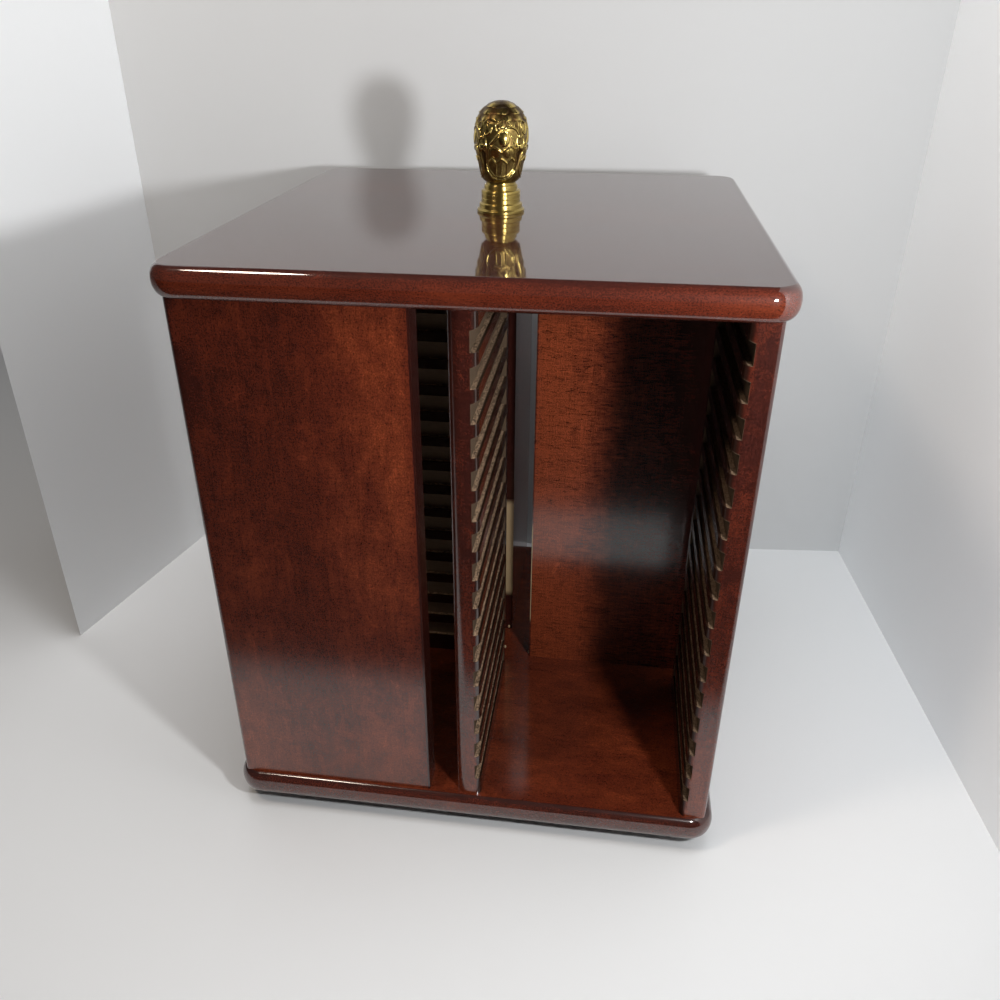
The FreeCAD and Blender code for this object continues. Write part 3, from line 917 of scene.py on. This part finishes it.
class RACK_OT_hidden_joints(bpy.types.Operator):
    """Finish the loose tenons and the finial's stud, which stay as they were built"""

    bl_idname = "rack.hidden_joints"
    bl_label = "Hidden joints"

    def execute(self, context):
        tones = context.scene.rack_colours
        beech = plain_finish("beech", tones.tenon, 0.6, grain=(0.0006, 0.0006, 0.012), spread=0.35)
        finish_node("top_tenons", beech)
        finish_node("bottom_tenons", beech)
        finish_node("finial_stud", plain_finish("stud_steel", tones.zinc, 0.3, 1.0))
        return {"FINISHED"}


def ring_of_balls(name, sizes, level):
    """Balls of the swivel, evenly spaced on their ring."""
    balls = []
    for index in range(sizes.ball_count):
        angle = 2 * math.pi * index / sizes.ball_count
        place = (sizes.ball_ring * math.cos(angle), sizes.ball_ring * math.sin(angle), level)
        bpy.ops.object.select_all(action="DESELECT")
        form = {"segments": 24, "ring_count": 16, "radius": sizes.ball_radius}
        bpy.ops.mesh.primitive_uv_sphere_add(location=place, **form)
        ball = bpy.context.object
        settle(ball)
        balls.append(ball)
    ring = joined(balls, name)
    start(ring)
    bpy.ops.object.shade_smooth()
    return ring


class RACK_OT_swivel(bpy.types.Operator):
    """Model the swivel's balls, and finish its plates, its base plate and its pads"""

    bl_idname = "rack.swivel"
    bl_label = "Swivel and base"

    def execute(self, context):
        tones = context.scene.rack_colours
        plated = plain_finish("zinc_plate", tones.zinc, 0.32, 1.0)
        for node in ("bearing_upper_plate", "bearing_lower_plate", "bearing_rivet", "bearing_screws"):
            finish_node(node, plated)
        finish_node("ball_cage", plain_finish("cage_nylon", tones.nylon, 0.5))
        level = (low_of("bearing_balls").z + high_of("bearing_balls").z) / 2
        balls = ring_of_balls("steel_balls", context.scene.rack_sizes, level)
        steel = plain_finish("ball_steel", tones.steel, 0.12, 1.0)
        finish_piece(balls, steel, "bearing_steel", "ball_ring", "bearing_balls")
        finish_node("base_plate", plain_finish("satin_black", tones.black, 0.42))
        finish_node("base_pads", plain_finish("pad_rubber", tones.rubber, 0.8))
        return {"FINISHED"}


# Studio: a floor and three upright cards round the rack, a small key lamp low on the right, a lamp like a
# window high on the left, a broad lamp overhead, and a dim room. Lengths are in metres.

PAPER_EDGE = -0.31
ROOM_TONE = (0.02, 0.018, 0.017)
FLOOR_SIDE = 8.0
CARD_HEIGHT = 0.9
# The three cards, how much lighter or darker than the floor each one is painted, as painted light and
# shade, and where one ends and the next begins.
CARDS = (("left", 1.25), ("back", 0.83), ("right", 1.30))
CARD_CORNERS = ((-0.391, 0.000), (-0.352, 0.186), (0.335, 0.248), (0.380, -0.320))
LAMP_TARGET = (0.0, 0.0, 0.2)
CAMERA_PLACE = (0.076, -0.593, 0.508)
CAMERA_AXES = (
    (0.99026, -0.06568, 0.12280),
    (0.13926, 0.47115, -0.87099),
    (-0.00065, 0.87960, 0.47571),
)
# Width of the camera's sensor and length of its lens in millimetres, and its shift in frame widths.
SENSOR = 36.0
LENS = 31.63
SHIFT = (0.0104, -0.0119)


def floor_finish(shade):
    """Pale paper. Reflections find the floor dark beyond the paper's front edge, where the room begins."""
    finish = Finish("floor_paper")
    beyond = 1 - finish.step(finish.y, PAPER_EDGE - 0.02, PAPER_EDGE + 0.02)
    dark_share = beyond * finish.light_path("Is Glossy Ray")
    return finish.surface(finish.blend(dark_share, finish.matt(shade), finish.matt(ROOM_TONE)))


def card_finish(name, shade):
    """Pale paper that lets the camera look through it from behind."""
    finish = Finish(name)
    clear = finish.node("ShaderNodeBsdfTransparent")
    behind = finish.node("ShaderNodeNewGeometry", output="Backfacing")
    clear_share = behind * finish.light_path("Is Camera Ray")
    return finish.surface(finish.blend(clear_share, finish.matt(shade), clear))


def room(world):
    """Dim room light. What is seen of the room is pale, and so is what is mirrored behind the rack."""
    nodes = Nodes(world)
    toward = nodes.node("ShaderNodeTexCoord", output="Generated")
    behind = nodes.step(nodes.split(toward)[1], 0.45, 0.70)
    mirrored = nodes.light_path("Is Glossy Ray") + nodes.light_path("Is Transmission Ray")
    seen = nodes.light_path("Is Camera Ray") + mirrored * behind
    dim = nodes.node("ShaderNodeBackground", None, {"Color": (1.0, 0.97, 0.95, 1.0), "Strength": 0.06})
    pale = nodes.node("ShaderNodeBackground", None, {"Color": (0.72, 0.72, 0.72, 1.0)})
    nodes.node("ShaderNodeOutputWorld", None, {"Surface": nodes.blend(seen, dim, pale)})


def sheet(name, material, width, height, place, turn=(0.0, 0.0, 0.0)):
    """Flat sheet of paper of the studio."""
    bpy.ops.object.select_all(action="DESELECT")
    bpy.ops.mesh.primitive_plane_add(size=1, location=place, rotation=turn)
    paper = named(bpy.context.object, name)
    paper.scale = (width, height, 1)
    settle(paper)
    paper.data.materials.append(material)


def card(name, material, left, right):
    """Upright sheet between two places on the floor, to the left and right of someone facing it."""
    run = Vector(right) - Vector(left)
    middle = (Vector(left) + Vector(right)) / 2
    yaw = math.atan2(run.y, run.x)
    place = (middle.x, middle.y, CARD_HEIGHT / 2)
    sheet(name, material, run.length, CARD_HEIGHT, place, (math.pi / 2, 0, yaw))


def lamp(name, power, size, place, target, shade=(1.0, 1.0, 1.0)):
    """Round area light that points at a target."""
    data = bpy.data.lights.new(name, "AREA")
    data.energy = power
    data.color = shade
    data.shape = "DISK"
    data.size = size
    made = bpy.data.objects.new(name, data)
    bpy.context.scene.collection.objects.link(made)
    made.location = place
    made.rotation_euler = (Vector(target) - Vector(place)).to_track_quat("-Z", "Y").to_euler()
    made.visible_camera = False
    return made


class RACK_OT_studio(bpy.types.Operator):
    """Set up the floor, the paper cards, the lights, the world and the camera"""

    bl_idname = "rack.studio"
    bl_label = "Studio"

    def execute(self, context):
        scene = context.scene
        tone = scene.rack_colours.paper
        sheet("studio_floor", floor_finish(tone), FLOOR_SIDE, FLOOR_SIDE, (0, 0, 0))
        # Each card's paper is painted lighter or darker than the floor, as painted light and shade.
        for (side, painted_lightness), left, right in zip(CARDS, CARD_CORNERS, CARD_CORNERS[1:]):
            card("studio_" + side, card_finish("card_paper_" + side, scaled(tone, painted_lightness)), left, right)
        lamp("key", 2.5, 0.05, (0.276, -0.444, 0.456), (0.066, -0.102, 0.428))
        lamp("window", 2.3, 0.16, (-0.40, -0.44, 1.02), LAMP_TARGET, (1.0, 0.84, 0.70))
        soft = lamp("overhead", 10.5, 0.9, (0.0, -0.1, 1.5), LAMP_TARGET, (0.985, 0.99, 1.0))
        soft.visible_glossy = False
        scene.world = scene.world or bpy.data.worlds.new("room")
        room(scene.world)
        lens = bpy.data.cameras.new("camera")
        lens.sensor_width = SENSOR
        lens.lens = LENS
        lens.shift_x, lens.shift_y = SHIFT
        lens.clip_start = 0.01
        camera = bpy.data.objects.new("camera", lens)
        scene.collection.objects.link(camera)
        camera.matrix_world = Matrix.Translation(CAMERA_PLACE) @ Matrix(CAMERA_AXES).to_4x4()
        scene.camera = camera
        scene.view_settings.view_transform = "Standard"
        return {"FINISHED"}


class RACK_PT_panel(bpy.types.Panel):
    """Sidebar panel with the rack's sizes, colours and pieces"""

    bl_idname = "RACK_PT_panel"
    bl_label = "Revolving Disc Rack"
    bl_space_type = "VIEW_3D"
    bl_region_type = "UI"
    bl_category = "Disc Rack"

    def draw(self, context):
        for group in (context.scene.rack_sizes, context.scene.rack_colours):
            column = self.layout.column(align=True)
            for name in group.__annotations__:
                column.prop(group, name)
        column = self.layout.column(align=True)
        for operator in OPERATORS:
            column.operator(operator.bl_idname)


OPERATORS = (
    RACK_OT_boards,
    RACK_OT_walls,
    RACK_OT_finial,
    RACK_OT_glue_beads,
    RACK_OT_hidden_joints,
    RACK_OT_swivel,
    RACK_OT_studio,
)


def register():
    for item in (RackSizes, RackColours, *OPERATORS, RACK_PT_panel):
        bpy.utils.register_class(item)
    bpy.types.Scene.rack_sizes = PointerProperty(type=RackSizes)
    bpy.types.Scene.rack_colours = PointerProperty(type=RackColours)


def unregister():
    del bpy.types.Scene.rack_colours
    del bpy.types.Scene.rack_sizes
    for item in reversed((RackSizes, RackColours, *OPERATORS, RACK_PT_panel)):
        bpy.utils.unregister_class(item)


def main():
    register()
    bpy.ops.rack.boards()
    bpy.ops.rack.walls()
    bpy.ops.rack.finial()
    bpy.ops.rack.glue_beads()
    bpy.ops.rack.hidden_joints()
    bpy.ops.rack.swivel()
    bpy.ops.rack.studio()


if __name__ == "__main__":
    main()
